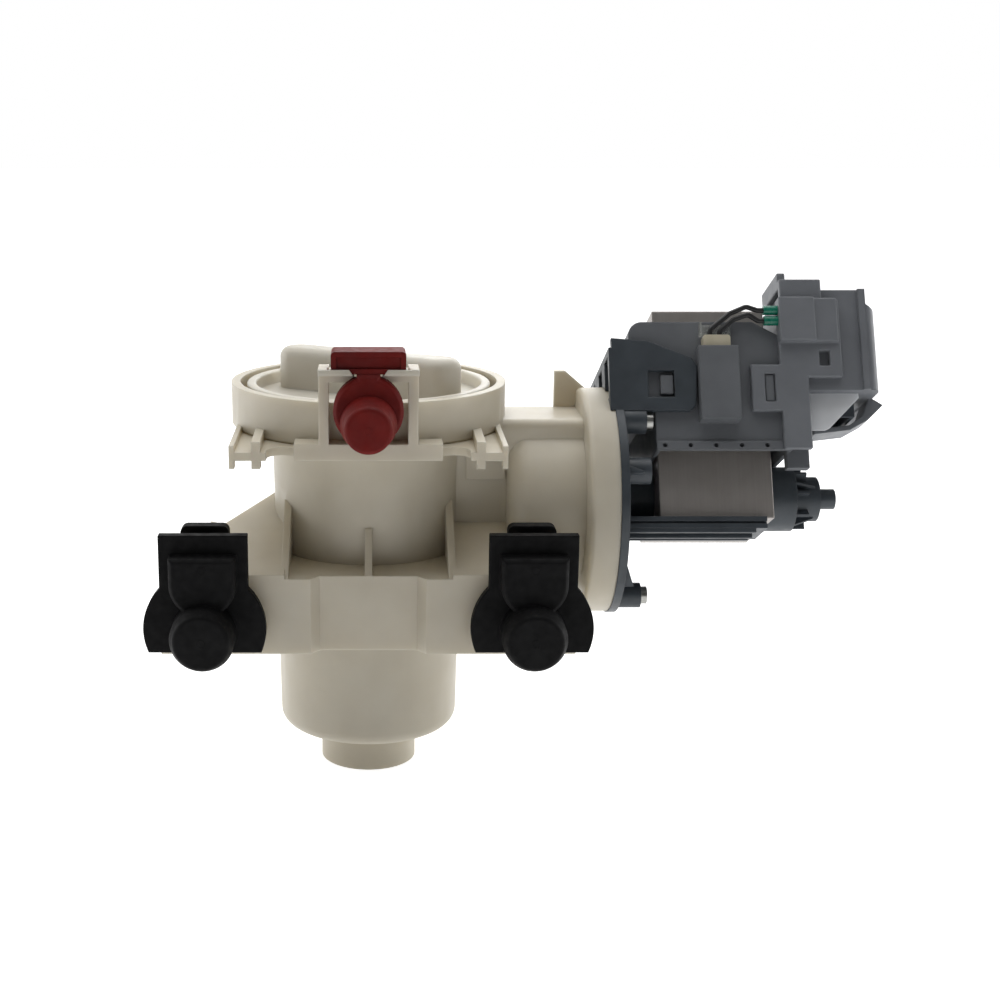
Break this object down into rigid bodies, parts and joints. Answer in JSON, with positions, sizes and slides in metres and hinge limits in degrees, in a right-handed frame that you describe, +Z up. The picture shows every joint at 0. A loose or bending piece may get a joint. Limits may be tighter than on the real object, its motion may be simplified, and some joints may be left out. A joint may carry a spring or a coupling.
{
  "type": "washer drain pump",
  "caption": "Drain pump with an upright white lint sump, barred filter cap, rubber feet and a leaning grey synchronous motor.",
  "frame": {"origin": "centre of the lower hose spigot's open end", "axes": "+X from the sump towards the motor along the pump shaft, +Y away from the three rubber feet, +Z up the sump axis towards the filter cap"},
  "size_m": [0.2649, 0.136, 0.1839],
  "materials": {
    "housing": "warm white moulded plastic, satin",
    "cap": "white moulded plastic, satin",
    "seal": "black rubber",
    "black_rubber": "black moulded rubber, dusty",
    "red_rubber": "brick red moulded rubber",
    "slate": "dark slate moulded plastic",
    "screw": "zinc plated steel",
    "impeller": "black moulded plastic",
    "shaft": "ground stainless steel",
    "ferrite": "sintered ferrite",
    "bush": "graphite bush",
    "lamination": "bare electrical steel sheets, cut edges",
    "bobbin": "ivory nylon",
    "winding": "enamelled copper wire",
    "cover": "mid grey glass filled plastic",
    "protector": "ivory sleeve",
    "lead": "black insulated wire",
    "sleeve": "green insulating sleeve",
    "terminal_cover": "grey moulded plastic",
    "socket": "light grey moulded plastic",
    "tab": "tinned brass"
  },
  "bodies": {
    "pump": {"pump_housing": "housing", "front_foot_left": "black_rubber", "front_foot_right": "black_rubber", "collar_foot": "red_rubber", "motor_frame": "slate", "volute_seal": "seal", "flange_screws": "screw", "front_bearing": "bush", "rear_bearing": "bush", "stator_core": "lamination", "coil_bobbins": "bobbin", "coil_windings": "winding", "coil_cover": "cover", "thermal_protector": "protector", "protector_leads": "lead", "lead_sleeves": "sleeve", "terminal_strap": "terminal_cover", "terminal_hood": "terminal_cover", "connector_insert": "socket", "terminals": "tab"},
    "cap": {"filter_cap": "cap", "cap_seal": "seal", "filter_basket": "cap"},
    "rotor": {"impeller": "impeller", "rotor_shaft": "shaft", "rotor_magnet": "ferrite"}
  },
  "joints": [
    {"name": "rotor_spin", "type": "hinge", "parent": "pump", "child": "rotor", "pos_m": [0.12, 0, 0.1007], "axis": [1, 0, 0], "continuous": true},
    {"name": "cap_turn", "type": "hinge", "parent": "pump", "child": "cap", "pos_m": [0, 0, 0.14], "axis": [0, 0, 1], "range_deg": [0, 90]}
  ]
}
